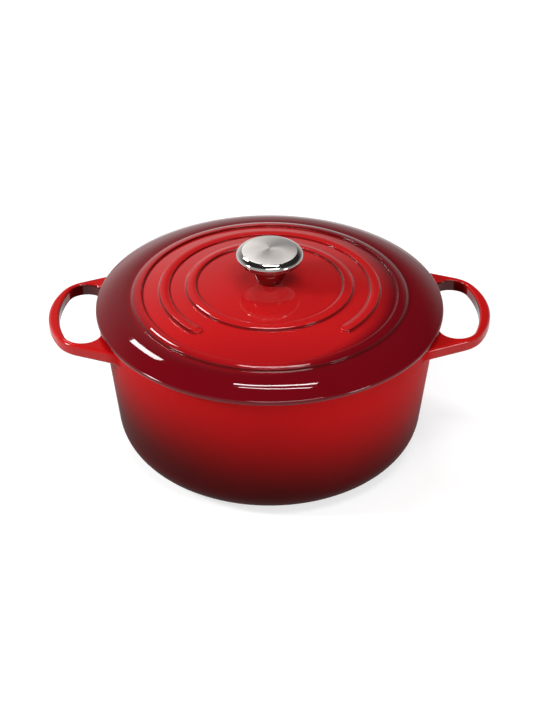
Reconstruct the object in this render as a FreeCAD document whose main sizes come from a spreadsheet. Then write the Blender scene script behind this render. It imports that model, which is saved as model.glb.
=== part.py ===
import FreeCAD, Part
import math
import os
import re

import Sketcher

# Round enamelled cast-iron dutch oven, in millimetres, +Z up.
# The origin is the middle of the flat base. The two loop handles lie along X,
# and the open side of the middle ring on the lid faces -Y.

# Every driving dimension: alias, value and what it measures.
SIZES = (
    # pot casting
    ("rim_height", 117.7, "height of the rim, on which the lid sits"),
    ("rim_radius", 131.7, "outside radius of the wall at the rim"),
    ("wall_angle", 6.7, "lean of the wall from the vertical, in degrees"),
    ("wall_thickness", 3.8, "iron and enamel, measured across"),
    ("base_thickness", 4.5, "thickness of the flat base"),
    ("base_corner_radius", 27.8, "outside round between base and wall"),
    ("rim_step", 4.3, "how far the rim stands above the handles"),
    ("rim_edge_radius", 0.6, "rounding of the two edges of the rim"),
    # loop handles, cast with the pot
    ("handle_reach", 41.3, "from the wall at the rim to the tip of a handle"),
    ("handle_tip_radius", 70.0, "plan radius of a handle's tip"),
    ("handle_half_width", 43.5, "from the middle of a handle to its corner"),
    ("handle_side_angle", 22.0, "angle of a handle's sides to X, in degrees"),
    ("handle_corner_radius", 28.0, "plan radius of a handle's corners"),
    ("handle_thickness", 10.5, "depth of a handle from top to underside"),
    ("handle_root_radius", 8.0, "round where a handle grows out of the wall"),
    ("handle_top_radius", 2.6, "rounding of the top edges"),
    ("handle_under_radius", 3.2, "rounding of the lower outer edges"),
    ("grip_width", 8.6, "width of a handle's bar at its tip"),
    ("grip_end_inset", 16.3, "from a handle's corner to the middle of the gap's end"),
    ("grip_tip_radius", 92.0, "plan radius of the outer side of the finger gap"),
    ("grip_wall_gap", 1.5, "iron left between the finger gap and the rim"),
    ("grip_edge_radius", 2.0, "rounding round the finger gap"),
    # lid casting
    ("lid_overhang", 4.05, "how far the lid reaches past the rim"),
    ("lid_wall", 3.8, "thickness of the lid's dome"),
    ("brim_crown_radius", 51.8, "crown of the brim, from the shoulder to the edge"),
    ("edge_round", 2.2, "upper round of the lid's edge"),
    ("edge_under_radius", 1.4, "lower round of the lid's edge"),
    ("edge_flat", 0.2, "upright strip between those two rounds"),
    ("brim_width", 27.85, "from the shoulder of the dome to the lid's edge"),
    ("dome_height", 23.7, "height of the dome above the rim"),
    ("flange_clearance", 1.4, "gap between locating flange and pot wall"),
    ("flange_width", 4.0, "width of the locating flange"),
    ("flange_drop", 4.5, "how far the flange reaches into the pot"),
    ("flange_round", 1.2, "rounding of the flange's lower edges"),
    ("hollow_round", 6.0, "round between the flange and the hollow"),
    ("lug_clearance", 0.5, "gap between a centring lug and the pot wall"),
    ("lug_width", 9.0, "width of a centring lug"),
    ("lug_count", 3, "number of centring lugs"),
    # raised bands on the lid
    ("ring_height", 1.7, "height of the raised bands above the dome"),
    ("ring_width", 7.2, "width of the raised bands"),
    ("outer_ring_inset", 4.5, "from the shoulder to the middle of the outer band"),
    ("middle_ring_inset", 25.9, "from the shoulder to the middle of the open band"),
    ("inner_ring_inset", 46.8, "from the shoulder to the middle of the inner band"),
    ("ring_gap_angle", 43.0, "from the front to each end of the open band"),
    ("band_edge_share", 0.34, "rounding of a band's top edges, as a share of its height"),
    ("band_foot_share", 0.2, "round at a band's foot, as a share of its height"),
    # knob
    ("knob_seat_radius", 10.5, "flat on the dome under the knob's neck"),
    ("neck_foot_radius", 9.5, "radius of the neck where it stands on the lid"),
    ("neck_top_radius", 13.6, "radius of the neck where it starts to flare"),
    ("neck_height", 9.9, "height at which the neck starts to flare"),
    ("flare_radius", 14.0, "round of the flare under the head"),
    ("knob_radius", 26.0, "greatest radius of the head"),
    ("knob_height", 29.4, "height of the knob above its seat"),
    ("seam_inset", 1.4, "from the greatest radius in to the seam of the shells"),
    ("seam_drop", 8.5, "from the top of the head down to that seam"),
    ("equator_drop", 5.9, "from the top down to the greatest radius"),
    ("turn_inset", 1.4, "from the greatest radius in to the shoulder's turn"),
    ("turn_drop", 3.8, "from the top down to that turn"),
    ("disc_inset", 5.7, "from the greatest radius in to the brushed disc"),
    ("disc_drop", 2.1, "from the top down to the disc's edge"),
    ("shoulder_round", 11.0, "round from the disc to the turn"),
    ("side_round", 3.3, "round from the turn to the greatest radius"),
    ("roll_round", 3.0, "round from there to the seam"),
    ("knob_shell", 1.1, "sheet thickness of the knob's shells"),
    ("neck_floor", 1.6, "thickness of the neck's floor"),
    # fastening
    ("insert_radius", 6.2, "radius of the threaded insert"),
    ("insert_height", 11.0, "length of the threaded insert"),
    ("insert_collar", 2.5, "thickness of the collar that centres the insert"),
    ("insert_fit", 0.05, "gap between insert and neck"),
    ("screw_radius", 3.0, "radius of the screw's shank"),
    ("thread_clearance", 0.05, "gap between screw and insert"),
    ("screw_hole_clearance", 0.4, "gap between screw and lid"),
    ("screw_engagement", 9.0, "length of the screw inside the insert"),
    ("screw_head_radius", 6.0, "radius of the screw's pan head"),
    ("screw_head_height", 3.8, "height of the screw's pan head"),
    ("screw_head_round", 1.6, "rounding of the pan head"),
    ("drive_width", 1.3, "width of the cross recess"),
    ("drive_length", 6.4, "length of the cross recess"),
    ("drive_depth", 2.2, "depth of the cross recess"),
    ("washer_outer_radius", 5.6, "outside radius of the lock washer"),
    ("washer_thickness", 1.5, "thickness of the lock washer"),
    ("washer_slit", 1.0, "width of the slit in the lock washer"),
    ("washer_seat_radius", 7.5, "flat inside the lid under the washer"),
)

MATH_NAMES = ("sqrt", "sin", "cos", "tan", "asin", "deg")
TOUCH = 1e-3                  # two places closer than this are the same place
FULL_TURN = 360.0

doc = FreeCAD.newDocument("dutch_oven")


# ---------------------------------------------------------------- the sheet

def make_sheet():
    """Write each driving dimension into its own row of the spreadsheet."""
    sheet = doc.addObject("Spreadsheet::Sheet", "Sizes")
    for row, (alias, value, meaning) in enumerate(SIZES, start=1):
        sheet.set(f"A{row}", alias.replace("_", " "))
        sheet.set(f"B{row}", str(value))
        sheet.setAlias(f"B{row}", alias)
        sheet.set(f"C{row}", meaning)
    doc.recompute()
    return sheet


SHEET = make_sheet()


def size(formula):
    """Value of a formula of sheet names, as a plain number."""
    return float(SHEET.evalExpression(formula))


def bound(formula):
    """The same formula, as an object outside the sheet has to write it."""
    return re.sub(r"[a-z_]+", lambda found: found.group()
                  if found.group() in MATH_NAMES
                  else "Sizes." + found.group(), formula)


def bind(thing, prop, formula):
    thing.setExpression(prop, bound(formula))


# ------------------------------------------------------------- sketch tools

def make_body(name, height="0"):
    """A named body that stands at a given height on the axis."""
    body = doc.addObject("PartDesign::Body", name)
    body.Label = name
    body.setExpression("Placement.Base.z", bound(height))
    return body


def origin_plane(body, role):
    return next(item for item in body.Origin.OriginFeatures if item.Role == role)


def make_sketch(body, name, role, lift=None):
    """An empty sketch on one of the body's own planes, lifted by a formula."""
    sketch = body.newObject("Sketcher::SketchObject", name)
    sketch.AttachmentSupport = [(origin_plane(body, role), "")]
    sketch.MapMode = "FlatFace"
    if lift is not None:
        sketch.setExpression("AttachmentOffset.Base.z", bound(lift))
    doc.recompute()
    return sketch


def fix(sketch, kind, formula, *where):
    """Add one driving constraint whose value is a formula of the sheet."""
    number = sketch.addConstraint(Sketcher.Constraint(kind, *where, size(formula)))
    sketch.setExpression(f"Constraints[{number}]", bound(formula))


def fix_point(sketch, edge, end, across, up):
    """Hold one end of an edge at a place given by two formulas."""
    fix(sketch, "DistanceX", across, -1, 1, edge, end)
    fix(sketch, "DistanceY", up, -1, 1, edge, end)


def arc_between(start, end, radius, turn):
    """Arc of a radius from start to end: turn 1 is anticlockwise, -1 clockwise."""
    chord = end - start
    half = chord.Length / 2
    reach = math.sqrt(max(radius * radius - half * half, 0.0))
    across = FreeCAD.Vector(-chord.y, chord.x, 0).normalize()
    centre = (start + end) / 2 + across * reach * turn
    first, last = (start, end) if turn > 0 else (end, start)
    begin = math.atan2(first.y - centre.y, first.x - centre.x)
    finish = math.atan2(last.y - centre.y, last.x - centre.x)
    circle = Part.Circle(centre, FreeCAD.Vector(0, 0, 1), radius)
    return Part.ArcOfCircle(circle, begin, finish)


def draw_outline(sketch, steps):
    """Closed outline through the steps, in order.

    A step is the two formulas of the point that it reaches, and for an arc the
    formula of its radius and the way it turns. Each point is held by the sheet.
    """
    points = [FreeCAD.Vector(size(step[0]), size(step[1]), 0) for step in steps]
    count = len(steps)
    for index, step in enumerate(steps):
        start = points[index - 1]
        end = points[index]
        if len(step) == 2:
            sketch.addGeometry(Part.LineSegment(start, end), False)
        else:
            radius = size(step[2])
            sketch.addGeometry(arc_between(start, end, radius, step[3]), False)
    finishes = [2 if len(step) == 2 or step[3] > 0 else 1 for step in steps]
    for index, step in enumerate(steps):
        following = (index + 1) % count
        begin = 3 - finishes[following]
        sketch.addConstraint(Sketcher.Constraint(
            "Coincident", index, finishes[index], following, begin))
        fix_point(sketch, index, finishes[index], step[0], step[1])
        if len(step) > 2:
            fix(sketch, "Radius", step[2], index)
    doc.recompute()


def draw_circle(sketch, radius):
    """Circle round the sketch's origin."""
    circle = Part.Circle(FreeCAD.Vector(), FreeCAD.Vector(0, 0, 1), size(radius))
    number = sketch.addGeometry(circle, False)
    sketch.addConstraint(Sketcher.Constraint("Coincident", number, 3, -1, 1))
    fix(sketch, "Radius", radius, number)
    doc.recompute()


def make_profile(body, name, steps):
    """Outline in the half plane of radius (Y) and height (Z), clear of the handles."""
    sketch = make_sketch(body, name, "YZ_Plane")
    draw_outline(sketch, steps)
    return sketch


# ------------------------------------------------------------ feature tools

def turn_profile(body, kind, name, sketch):
    """Revolution or Groove of a profile, all the way round the axis."""
    feature = body.newObject(kind, name)
    feature.Profile = sketch
    feature.ReferenceAxis = (sketch, ["V_Axis"])
    feature.Angle = FULL_TURN
    doc.recompute()
    return feature


def revolve(body, name, steps):
    sketch = make_profile(body, name + "_profile", steps)
    return turn_profile(body, "PartDesign::Revolution", name, sketch)


def hollow_out(body, name, steps):
    """Cut a revolved profile away, and make sure that it did cut."""
    before = body.Shape.Volume
    sketch = make_profile(body, name + "_profile", steps)
    feature = turn_profile(body, "PartDesign::Groove", name, sketch)
    must_shrink(body, before, name)
    return feature


def must_shrink(body, before, name):
    if body.Shape.Volume > before - TOUCH:
        raise ValueError(f"{name} cuts nothing")


def pad_up(body, name, sketch, length):
    feature = body.newObject("PartDesign::Pad", name)
    feature.Profile = sketch
    bind(feature, "Length", length)
    doc.recompute()
    return feature


def cut_upwards(body, name, sketch, length=None):
    """Pocket that runs up from its sketch, through everything or by a length."""
    before = body.Shape.Volume
    feature = body.newObject("PartDesign::Pocket", name)
    feature.Profile = sketch
    feature.Reversed = True
    if length is None:
        feature.Type = "ThroughAll"
    else:
        bind(feature, "Length", length)
    doc.recompute()
    must_shrink(body, before, name)
    return feature


def round_edges(body, name, radius, wanted):
    """Fillet every edge of the body that the test picks out."""
    base = body.Tip
    names = [f"Edge{number}" for number, edge in enumerate(base.Shape.Edges, start=1)
             if wanted(edge)]
    if not names:
        raise ValueError(f"{name} finds no edge")
    feature = body.newObject("PartDesign::Fillet", name)
    feature.Refine = False
    feature.Base = (base, names)
    bind(feature, "Radius", radius)
    doc.recompute()
    if not feature.isValid():
        raise ValueError(f"{name} did not compute")
    return feature


def samples(edge):
    """Five places along an edge."""
    first, last = edge.ParameterRange
    return [edge.valueAt(first + (last - first) * step / 4) for step in range(5)]


def radius_at(point):
    return math.hypot(point.x, point.y)


def lies_at(edge, height):
    """True where the whole edge lies in one level plane."""
    return all(abs(point.z - height) < TOUCH for point in samples(edge))


def is_circle(edge, radius, height):
    """True for an edge on one level circle round the axis."""
    return lies_at(edge, height) and all(
        abs(radius_at(point) - radius) < TOUCH for point in samples(edge))


# ------------------------------------------------------------------ the pot

HANDLE_TOP = "rim_height - rim_step"
HANDLE_UNDER = "rim_height - rim_step - handle_thickness"
HANDLE_TIP = "rim_radius + handle_reach"
BURIED = "rim_radius / 2"     # handle plates start well inside the casting
GAP_INNER = "(rim_radius + grip_wall_gap)"
GAP_TIP_X = f"({HANDLE_TIP} - grip_width - grip_tip_radius)"
GAP_END_Y = "(handle_half_width - grip_end_inset)"


def wall_radius(height):
    """Formula of the outside radius of the wall at a height."""
    return f"rim_radius - (rim_height - ({height})) * tan(wall_angle * 1 deg)"


def inner_wall_radius(height):
    return wall_radius(height) + " - wall_thickness / cos(wall_angle * 1 deg)"


def lies_on_wall(edge):
    """True for the edges along which a handle grows out of the wall."""
    under = size(HANDLE_UNDER)
    for point in samples(edge):
        cone = size(wall_radius(f"{point.z:.6f}"))
        if abs(radius_at(point) - cone) > TOUCH or point.z < under - TOUCH:
            return False
    return not lies_at(edge, size(HANDLE_TOP))


def make_handle_plates(pot):
    """Both handles as solid plates, whose inner ends are inside the casting."""
    corner_x = (f"{HANDLE_TIP} - handle_tip_radius"
                " + sqrt(handle_tip_radius ^ 2 - handle_half_width ^ 2)")
    root_y = (f"handle_half_width + ({corner_x} - {BURIED})"
              " * tan(handle_side_angle * 1 deg)")
    for side, sign, turn in (("right", "", 1), ("left", "-", -1)):
        sketch = make_sketch(pot, f"{side}_handle_plan", "XY_Plane", HANDLE_UNDER)
        draw_outline(sketch, (
            (f"{sign}({BURIED})", f"-({root_y})"),
            (f"{sign}({corner_x})", "-handle_half_width"),
            (f"{sign}({corner_x})", "handle_half_width", "handle_tip_radius", turn),
            (f"{sign}({BURIED})", root_y),
        ))
        pad_up(pot, f"{side}_handle", sketch, "handle_thickness")

    corner = size(corner_x)
    half_width = size("handle_half_width")
    round_edges(pot, "handle_corners", "handle_corner_radius", lambda edge: all(
        abs(abs(point.x) - corner) < TOUCH and abs(abs(point.y) - half_width) < TOUCH
        for point in samples(edge)))


def gap_end_radius():
    """Formula of the radius of the arc that closes the finger gap at each end.

    The circle touches the gap's inner side from outside and its outer side
    from inside. Both conditions together make x a linear formula of the radius
    and leave one quadratic equation for it.
    """
    both = f"({GAP_INNER} + grip_tip_radius)"
    slope = f"({both} / {GAP_TIP_X})"
    start = (f"(({GAP_TIP_X} ^ 2 + {both} * ({GAP_INNER} - grip_tip_radius))"
             f" / (2 * {GAP_TIP_X}))")
    square = f"({slope} ^ 2 - 1)"
    half = f"({start} * {slope} - {GAP_INNER})"
    rest = f"({start} ^ 2 + {GAP_END_Y} ^ 2 - {GAP_INNER} ^ 2)"
    return f"(sqrt({half} ^ 2 - {square} * {rest}) - {half}) / {square}"


GAP_END = gap_end_radius()


def gap_arcs():
    """Plan of the right-hand finger gap: centres and radii of its arcs.

    The inner side is concentric with the rim, the outer side has its centre on
    X, and an end arc on each side of X is tangent to both.
    """
    inner = size(GAP_INNER)
    end = size(GAP_END)
    end_y = size(GAP_END_Y)
    end_x = math.sqrt((inner + end) ** 2 - end_y ** 2)
    return inner, end, size("grip_tip_radius"), size(GAP_TIP_X), end_x, end_y


def make_finger_gap(pot, side, sign):
    """A rounded gap right through one handle."""
    inner, end, tip, tip_x, end_x, end_y = gap_arcs()
    inner_angle = math.atan2(end_y, end_x)
    tip_angle = math.atan2(end_y, end_x - tip_x)
    facing = 0 if sign > 0 else math.pi
    below = f"{HANDLE_UNDER} - 2 * handle_root_radius"
    sketch = make_sketch(pot, f"{side}_finger_gap_plan", "XY_Plane", below)

    def add_arc(x, y, radius, begin, finish):
        circle = Part.Circle(FreeCAD.Vector(sign * x, y, 0), FreeCAD.Vector(0, 0, 1), radius)
        sketch.addGeometry(
            Part.ArcOfCircle(circle, facing + begin, facing + finish), False)

    add_arc(0, 0, inner, -inner_angle, inner_angle)
    add_arc(tip_x, 0, tip, -tip_angle, tip_angle)
    add_arc(end_x, sign * end_y, end, tip_angle, inner_angle + math.pi)
    add_arc(end_x, -sign * end_y, end, -inner_angle - math.pi, -tip_angle)
    for first, first_end, second, second_end in (
            (0, 2, 2, 2), (1, 2, 2, 1), (0, 1, 3, 1), (1, 1, 3, 2)):
        sketch.addConstraint(Sketcher.Constraint(
            "Tangent", first, first_end, second, second_end))
    sketch.addConstraint(Sketcher.Constraint("Coincident", 0, 3, -1, 1))
    sketch.addConstraint(Sketcher.Constraint("PointOnObject", 1, 3, -1))
    fix(sketch, "Radius", GAP_INNER, 0)
    fix(sketch, "Radius", "grip_tip_radius", 1)
    fix(sketch, "Radius", GAP_END, 2)
    fix(sketch, "Radius", GAP_END, 3)
    fix(sketch, "DistanceX", f"{sign} * {GAP_TIP_X}", -1, 1, 1, 3)
    doc.recompute()
    cut_upwards(pot, f"{side}_finger_gap", sketch)


def is_gap_edge(edge):
    """True for the upper and lower edges of a finger gap."""
    inner, end, tip, tip_x, end_x, end_y = gap_arcs()

    def off_gap(point):
        x = abs(point.x)
        y = abs(point.y)
        if y * end_x < x * end_y and x < end_x:
            return radius_at(point) - inner
        if y * (end_x - tip_x) < (x - tip_x) * end_y and x > end_x:
            return math.hypot(x - tip_x, y) - tip
        return math.hypot(x - end_x, y - end_y) - end

    places = samples(edge)
    upright = (places[0] - places[-1]).cross(FreeCAD.Vector(0, 0, 1)).Length < TOUCH
    return not upright and all(abs(off_gap(point)) < TOUCH for point in places)


def round_handles(pot):
    """Rounds of the lower edges, the roots on the wall and the top outline."""
    under = size(HANDLE_UNDER)
    top = size(HANDLE_TOP)
    wall = size(wall_radius(HANDLE_UNDER))

    def is_lower_edge(edge):
        return lies_at(edge, under) and any(
            radius_at(point) > wall + TOUCH for point in samples(edge))

    round_edges(pot, "handle_lower_edges", "handle_under_radius", is_lower_edge)
    round_edges(pot, "handle_roots", "handle_root_radius", lies_on_wall)
    round_edges(pot, "handle_top_edges", "handle_top_radius",
                lambda edge: lies_at(edge, top))


def make_rim(pot):
    """Raise the rim above the handles and hollow the pot out."""
    revolve(pot, "rim", (
        ("0", HANDLE_UNDER),
        (wall_radius(HANDLE_UNDER), HANDLE_UNDER),
        (wall_radius("rim_height"), "rim_height"),
        ("0", "rim_height"),
    ))
    above = "rim_height + wall_thickness"
    corner = inner_wall_radius("base_thickness")
    corner_round = "base_corner_radius - wall_thickness"
    tangent = f"({corner_round}) * tan((90 - wall_angle) / 2 * 1 deg)"
    hollow_out(pot, "inside", (
        ("0", "base_thickness"),
        (f"{corner} - {tangent}", "base_thickness"),
        (f"{corner} + {tangent} * sin(wall_angle * 1 deg)",
         f"base_thickness + {tangent} * cos(wall_angle * 1 deg)", corner_round, 1),
        (inner_wall_radius(above), above),
        ("0", above),
    ))
    rim = size("rim_height")
    round_edges(pot, "rim_edges", "rim_edge_radius", lambda edge: lies_at(edge, rim))


def make_pot():
    """One casting: base, wall, rim and two loop handles."""
    pot = make_body("pot")
    revolve(pot, "outside", (
        ("0", "0"),
        (wall_radius("0"), "0"),
        (wall_radius(HANDLE_TOP), HANDLE_TOP),
        ("0", HANDLE_TOP),
    ))
    corner = size(wall_radius("0"))
    round_edges(pot, "base_corner", "base_corner_radius",
                lambda edge: is_circle(edge, corner, 0))
    make_handle_plates(pot)
    round_handles(pot)
    make_finger_gap(pot, "right", 1)
    make_finger_gap(pot, "left", -1)
    round_edges(pot, "finger_gap_edges", "grip_edge_radius", is_gap_edge)
    make_rim(pot)
    return pot


# ------------------------------------------------------------------ the lid

LID_RADIUS = "rim_radius + lid_overhang"
SHOULDER = f"({LID_RADIUS} - brim_width)"
OUTER_RING = f"({SHOULDER} - outer_ring_inset)"
MIDDLE_RING = f"({SHOULDER} - middle_ring_inset)"
INNER_RING = f"({SHOULDER} - inner_ring_inset)"
MOUTH = inner_wall_radius("rim_height")
FLANGE_OUTER = f"{MOUTH} - flange_clearance"
FLANGE_INNER = f"{FLANGE_OUTER} - flange_width"
LUG_RISE = "(flange_clearance - lug_clearance)"
BAND_EDGE = "(band_edge_share * ring_height)"
BAND_FOOT = "(band_foot_share * ring_height)"


# The brim's crown is level at the shoulder and touches the edge's upper round.
EDGE_CENTRE = "(edge_under_radius + edge_flat)"
CROWN_TURN = "(brim_crown_radius - edge_round)"
CROWN_RUN = f"({LID_RADIUS} - edge_round - {SHOULDER})"
CROWN_FALL = f"sqrt({CROWN_TURN} ^ 2 - {CROWN_RUN} ^ 2)"
CROWN_CENTRE = f"({EDGE_CENTRE} - {CROWN_FALL})"
SHOULDER_HEIGHT = f"({CROWN_CENTRE} + brim_crown_radius)"

# The dome is the cap of a sphere from its top down to the shoulder.
DOME_RISE = f"(dome_height - {SHOULDER_HEIGHT})"
DOME_RADIUS = f"(({SHOULDER} ^ 2 + {DOME_RISE} ^ 2) / (2 * {DOME_RISE}))"


def dome_at(radius, lift):
    """Formula of the height, at a radius, of a sphere lifted off the dome."""
    ball = f"({DOME_RADIUS} + {lift})"
    return (f"dome_height + {lift} - {ball}"
            f" + sqrt({ball} ^ 2 - ({radius}) ^ 2)")


def dome_corner(wall, lift, radius, rise, side):
    """Ends of the arc that joins an upright wall to the dome: wall first.

    The wall leaves the dome upwards (rise 1) or downwards (-1), and the dome
    goes on outwards (side 1) or inwards (-1).
    """
    slope = f"asin(({wall}) / ({DOME_RADIUS} + {lift}))"
    reach = f"{radius} * tan((90 deg - {side * rise} * {slope}) / 2)"
    landing = f"{wall} + {side} * {reach} * cos({slope})"
    return (
        (wall, f"{dome_at(wall, lift)} + {rise} * {reach}"),
        (landing, dome_at(landing, lift)),
    )


def band_steps(middle):
    """Outline of a raised band, from the dome outside it to the dome inside it."""
    outer = f"{middle} + ring_width / 2"
    inner = f"{middle} - ring_width / 2"
    outer_wall, outer_foot = dome_corner(outer, "0", BAND_FOOT, 1, 1)
    outer_edge, outer_crest = dome_corner(outer, "ring_height", BAND_EDGE, -1, -1)
    inner_edge, inner_crest = dome_corner(inner, "ring_height", BAND_EDGE, -1, 1)
    inner_wall, inner_foot = dome_corner(inner, "0", BAND_FOOT, 1, -1)
    return (
        (*outer_foot, DOME_RADIUS, 1),
        (*outer_wall, BAND_FOOT, -1),
        outer_edge,
        (*outer_crest, BAND_EDGE, 1),
        (*inner_crest, f"{DOME_RADIUS} + ring_height", 1),
        (*inner_edge, BAND_EDGE, 1),
        inner_wall,
        (*inner_foot, BAND_FOOT, -1),
    )


def add_open_ring(lid):
    """Middle band: a C with round ends, open towards -Y."""
    middle = size(MIDDLE_RING)
    half = size("ring_width / 2")
    front = -math.pi / 2
    begin = front + math.radians(size("ring_gap_angle"))
    finish = front - math.radians(size("ring_gap_angle")) + 2 * math.pi
    level = FreeCAD.Vector(0, 0, 1)
    sketch = make_sketch(lid, "middle_ring_plan", "XY_Plane")
    for radius in (middle - half, middle + half):
        circle = Part.Circle(FreeCAD.Vector(), level, radius)
        sketch.addGeometry(Part.ArcOfCircle(circle, begin, finish), False)
    for turn, angle in ((-math.pi, begin), (0, finish)):
        centre = FreeCAD.Vector(middle * math.cos(angle), middle * math.sin(angle), 0)
        circle = Part.Circle(centre, level, half)
        sketch.addGeometry(
            Part.ArcOfCircle(circle, angle + turn, angle + turn + math.pi), False)
    for first, first_end, second, second_end in (
            (0, 1, 2, 1), (1, 1, 2, 2), (0, 2, 3, 2), (1, 2, 3, 1)):
        sketch.addConstraint(Sketcher.Constraint(
            "Tangent", first, first_end, second, second_end))
    sketch.addConstraint(Sketcher.Constraint("Coincident", 0, 3, -1, 1))
    sketch.addConstraint(Sketcher.Constraint("Coincident", 1, 3, -1, 1))
    fix(sketch, "Radius", f"{MIDDLE_RING} - ring_width / 2", 0)
    fix(sketch, "Radius", f"{MIDDLE_RING} + ring_width / 2", 1)
    offset = f"{MIDDLE_RING} * sin(ring_gap_angle * 1 deg)"
    fix(sketch, "DistanceX", offset, -1, 1, 2, 3)
    fix(sketch, "DistanceX", f"-{offset}", -1, 1, 3, 3)
    doc.recompute()
    pad_up(lid, "middle_ring", sketch, dome_at(MIDDLE_RING, "ring_height"))


def round_open_ring(lid):
    """Soft crest and foot on the middle band, as on the two closed ones."""
    near = size(f"{MIDDLE_RING} - ring_width / 2") - TOUCH
    far = size(f"{MIDDLE_RING} + ring_width / 2") + TOUCH
    top = size(dome_at(MIDDLE_RING, "ring_height"))

    def on_band(edge):
        return all(near < radius_at(point) < far for point in samples(edge))

    def on_dome(edge):
        places = samples(edge)
        return places[0].distanceToPoint(places[2]) > TOUCH and all(
            abs(point.z - size(dome_at(f"{radius_at(point):.6f}", "0"))) < TOUCH
            for point in places)

    round_edges(lid, "middle_ring_crest", BAND_EDGE,
                lambda edge: lies_at(edge, top) and on_band(edge))
    round_edges(lid, "middle_ring_foot", BAND_FOOT,
                lambda edge: on_band(edge) and on_dome(edge))


def hollow_lid(lid):
    """Hollow under the dome, inside the locating flange."""
    seat = "washer_seat_radius"
    inside = "-lid_wall"
    wall, roof = dome_corner(FLANGE_INNER, inside, "hollow_round", -1, -1)
    mouth = f"{FLANGE_INNER} + flange_round"
    hollow_out(lid, "hollow", (
        ("0", "-2 * flange_drop"),
        (mouth, "-2 * flange_drop"),
        (mouth, "-flange_drop"),
        (FLANGE_INNER, "flange_round - flange_drop", "flange_round", -1),
        wall,
        (*roof, "hollow_round", 1),
        (seat, dome_at(seat, inside), f"{DOME_RADIUS} - lid_wall", 1),
        ("0", dome_at(seat, inside)),
    ))


def add_lugs(lid):
    """Low lugs on the flange, which keep the lid centred in the pot's mouth."""
    half = "lug_width / 2"
    start = f"{FLANGE_OUTER} - flange_width / 2"
    corner = f"({MOUTH} - lug_clearance - {LUG_RISE})"
    bow_radius = f"(({half}) ^ 2 + {LUG_RISE} ^ 2) / (2 * {LUG_RISE})"
    sketch = make_sketch(lid, "lug_plan", "XY_Plane", "flange_round - flange_drop")
    draw_outline(sketch, (
        (start, f"-{half}"),
        (corner, f"-{half}"),
        (corner, half, bow_radius, 1),
        (start, half),
    ))
    first = pad_up(lid, "lug", sketch, "flange_drop - flange_round")
    pattern = lid.newObject("PartDesign::PolarPattern", "lugs")
    pattern.Originals = [first]
    pattern.Axis = (sketch, ["N_Axis"])
    pattern.Angle = FULL_TURN
    bind(pattern, "Occurrences", "lug_count")
    lid.Tip = pattern
    doc.recompute()


def make_lid():
    """One casting, drawn with its seat on the rim at height 0."""
    lid = make_body("lid", "rim_height")
    seat = "knob_seat_radius"
    revolve(lid, "lid_outside", (
        ("0", "-flange_drop"),
        (f"{FLANGE_OUTER} - flange_round", "-flange_drop"),
        (FLANGE_OUTER, "flange_round - flange_drop", "flange_round", 1),
        (FLANGE_OUTER, "0"),
        (f"{LID_RADIUS} - edge_under_radius", "0"),
        (LID_RADIUS, "edge_under_radius", "edge_under_radius", 1),
        (LID_RADIUS, EDGE_CENTRE),
        (f"{SHOULDER} + brim_crown_radius * {CROWN_RUN} / {CROWN_TURN}",
         f"{CROWN_CENTRE} + brim_crown_radius * {CROWN_FALL} / {CROWN_TURN}",
         "edge_round", 1),
        (SHOULDER, SHOULDER_HEIGHT, "brim_crown_radius", 1),
        *band_steps(OUTER_RING),
        *band_steps(INNER_RING),
        (seat, dome_at(seat, "0"), DOME_RADIUS, 1),
        ("0", dome_at(seat, "0")),
    ))
    add_open_ring(lid)
    round_open_ring(lid)
    hollow_lid(lid)
    add_lugs(lid)
    bore(lid, "screw_hole", "screw_radius + screw_hole_clearance",
         "-flange_drop", "2 * dome_height")
    return lid


# ----------------------------------------------------------------- the knob

KNOB_SEAT = f"rim_height + {dome_at('knob_seat_radius', '0')}"
SEAM_RADIUS = "(knob_radius - seam_inset)"
SEAM_HEIGHT = "(knob_height - seam_drop)"
EQUATOR_HEIGHT = "(knob_height - equator_drop)"
TURN_RADIUS = "(knob_radius - turn_inset)"
TURN_HEIGHT = "(knob_height - turn_drop)"
DISC_RADIUS = "(knob_radius - disc_inset)"
DISC_EDGE_HEIGHT = "(knob_height - disc_drop)"


def bore(body, name, radius, start, length):
    """Round hole up the axis."""
    sketch = make_sketch(body, f"{name}_plan", "XY_Plane", start)
    draw_circle(sketch, radius)
    return cut_upwards(body, name, sketch, length)


def make_knob_top():
    """Pressed dome: brushed disc, shoulder and rolled side, open below."""
    cap = make_body("knob_top", KNOB_SEAT)
    crown_radius = f"({DISC_RADIUS} ^ 2 + disc_drop ^ 2) / (2 * disc_drop)"
    revolve(cap, "cap", (
        ("0", SEAM_HEIGHT),
        (SEAM_RADIUS, SEAM_HEIGHT),
        ("knob_radius", EQUATOR_HEIGHT, "roll_round", 1),
        (TURN_RADIUS, TURN_HEIGHT, "side_round", 1),
        (DISC_RADIUS, DISC_EDGE_HEIGHT, "shoulder_round", 1),
        ("0", "knob_height", crown_radius, 1),
    ))
    hollow_out(cap, "cap_inside", (
        ("0", SEAM_HEIGHT),
        (f"{SEAM_RADIUS} - knob_shell", SEAM_HEIGHT),
        ("knob_radius - knob_shell", EQUATOR_HEIGHT, "roll_round", 1),
        (f"{TURN_RADIUS} - knob_shell", f"{TURN_HEIGHT} - knob_shell / 2",
         "side_round", 1),
        (DISC_RADIUS, f"{DISC_EDGE_HEIGHT} - knob_shell", "shoulder_round", 1),
        ("0", "knob_height - knob_shell", crown_radius, 1),
    ))
    return cap


def inner_neck_radius(height):
    """Inside radius of the neck's cone at a height."""
    return (f"neck_foot_radius - knob_shell"
            f" + (neck_top_radius - neck_foot_radius) * ({height}) / neck_height")


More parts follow.
